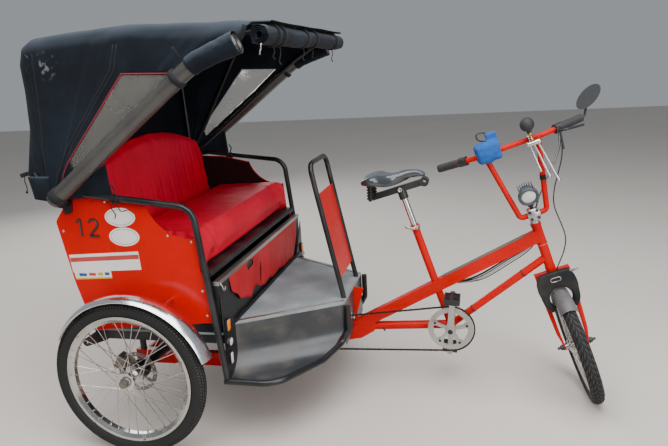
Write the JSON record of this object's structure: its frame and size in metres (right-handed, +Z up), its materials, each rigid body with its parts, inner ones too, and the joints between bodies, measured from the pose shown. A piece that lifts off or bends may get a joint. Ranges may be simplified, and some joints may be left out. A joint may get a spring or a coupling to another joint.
{
  "type": "cycle rickshaw",
  "caption": "Pedal rickshaw with the rider in front and a hooded passenger bench between the rear wheels.",
  "frame": {"origin": "on the ground under the middle of the vehicle's box", "axes": "+X forward, +Y to the rider's left, +Z up"},
  "size_m": [2.2008, 1.436, 1.624],
  "materials": {
    "red_paint": "gloss",
    "black_paint": "satin",
    "chrome": "polished",
    "bright_alloy": "brushed",
    "worn_steel": "worn",
    "grey_paint": "satin",
    "tyre_rubber": "matt",
    "black_rubber": "matt",
    "black_plastic": "matt",
    "hood_cloth": "woven",
    "grey_vinyl": "soft",
    "red_vinyl": "soft",
    "saddle_leather": "glossy",
    "blue_textile": "woven",
    "chain_steel": "oiled"
  },
  "bodies": {
    "frame": {"main_frame": "red_paint", "seatpost": "chrome", "saddle_cover": "saddle_leather", "saddle_frame": "black_paint", "gear_axle": "worn_steel", "rear_axle": "black_paint", "calipers": "worn_steel", "body_frame": "black_paint", "side_panels": "red_paint", "rear_panel": "red_paint", "seat_box": "black_paint", "trim_strips": "bright_alloy", "seat_cushion": "red_vinyl", "seat_back": "red_vinyl", "floor_pan": "grey_paint", "step_rim": "black_paint", "skirt": "black_paint", "side_plates": "black_paint", "armrests": "black_paint", "fenders": "chrome", "guard_frame": "black_paint", "guard_panel": "red_paint", "hood_cover": "hood_cloth", "hood_bows": "black_paint", "side_rolls": "grey_vinyl", "front_roll": "hood_cloth", "frame_cables": "black_rubber", "drive_chain": "chain_steel", "axle_chain": "chain_steel"},
    "steering": {"fork": "red_paint", "stem": "bright_alloy", "handlebar": "red_paint", "grips": "black_rubber", "controls": "black_plastic", "mirror": "black_plastic", "horn": "chrome", "headlamp": "black_plastic", "lock_wrap": "blue_textile", "ring_lock": "black_plastic", "front_guard": "grey_paint", "bar_cables": "black_rubber", "brake_cable": "black_rubber"},
    "front_wheel": {"front_wheel": "chrome", "front_tyre": "tyre_rubber"},
    "rear_wheel_right": {"rear_wheel_right": "chrome", "rear_tyre_right": "tyre_rubber", "rear_shaft_right": "worn_steel"},
    "rear_wheel_left": {"rear_wheel_left": "chrome", "rear_tyre_left": "tyre_rubber", "rear_shaft_left": "worn_steel"},
    "cranks": {"cranks": "bright_alloy", "chainring": "bright_alloy"},
    "pedal_right": {"pedal_right": "black_plastic"},
    "pedal_left": {"pedal_left": "black_plastic"},
    "gear_hub": {"gear_hub": "worn_steel"},
    "differential": {"differential": "worn_steel"}
  },
  "joints": [
    {"name": "steering_turn", "type": "hinge", "parent": "frame", "child": "steering", "pos_m": [0.88856, 0, 0.57], "axis": [-0.3156, 0, 0.9489], "range_deg": [0, 170]},
    {"name": "front_wheel_spin", "type": "hinge", "parent": "steering", "child": "front_wheel", "pos_m": [0.99872, -0.01992, 0.24438], "axis": [0.9453, 0.0872, 0.3144], "continuous": true},
    {"name": "rear_wheel_right_spin", "type": "hinge", "parent": "frame", "child": "rear_wheel_right", "pos_m": [-0.71544, -0.66, 0.315], "axis": [0, 1, 0], "continuous": true},
    {"name": "rear_wheel_left_spin", "type": "hinge", "parent": "frame", "child": "rear_wheel_left", "pos_m": [-0.71544, 0.66, 0.315], "axis": [0, 1, 0], "continuous": true},
    {"name": "cranks_spin", "type": "hinge", "parent": "frame", "child": "cranks", "pos_m": [0.47656, 0, 0.305], "axis": [0, 1, 0], "continuous": true},
    {"name": "pedal_right_spin", "type": "hinge", "parent": "cranks", "child": "pedal_right", "pos_m": [0.48842, -0.14, 0.47459], "axis": [0, 1, 0], "continuous": true},
    {"name": "pedal_left_spin", "type": "hinge", "parent": "cranks", "child": "pedal_left", "pos_m": [0.4647, 0.14, 0.13541], "axis": [0, 1, 0], "continuous": true},
    {"name": "gear_hub_spin", "type": "hinge", "parent": "frame", "child": "gear_hub", "pos_m": [-0.37044, 0, 0.235], "axis": [0, 1, 0], "continuous": true},
    {"name": "differential_spin", "type": "hinge", "parent": "frame", "child": "differential", "pos_m": [-0.71544, 0, 0.315], "axis": [0, 1, 0], "continuous": true}
  ],
  "couplings": [
    {"joint": "gear_hub_spin", "follows": "cranks_spin", "ratio": 1.6897},
    {"joint": "differential_spin", "follows": "cranks_spin", "ratio": 1.4849}
  ]
}
